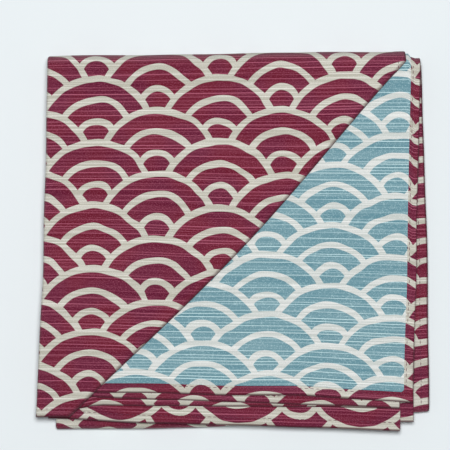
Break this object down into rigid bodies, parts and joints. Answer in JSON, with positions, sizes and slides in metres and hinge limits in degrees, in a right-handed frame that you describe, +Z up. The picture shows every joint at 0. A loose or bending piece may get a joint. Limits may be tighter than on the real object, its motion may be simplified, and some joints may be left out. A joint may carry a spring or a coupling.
{
  "type": "folded furoshiki wrapping cloth",
  "caption": "Square reversible cotton wrapping cloth, folded flat in a layered packet with one corner of its top layer turned under to show the reverse.",
  "frame": {"origin": "middle of the packet's outline, on the surface it rests on", "axes": "+Z up through the layers, +X to the right and +Y to the back, where the outermost fold lies"},
  "size_m": [0.1844, 0.1784, 0.0186],
  "materials": {
    "printed_cotton": "matt slub-weave cotton, wine red with cream lines on the face and teal with off-white lines on the reverse"
  },
  "bodies": {
    "root": {"wrapping_cloth": "printed_cotton"}
  },
  "joints": []
}
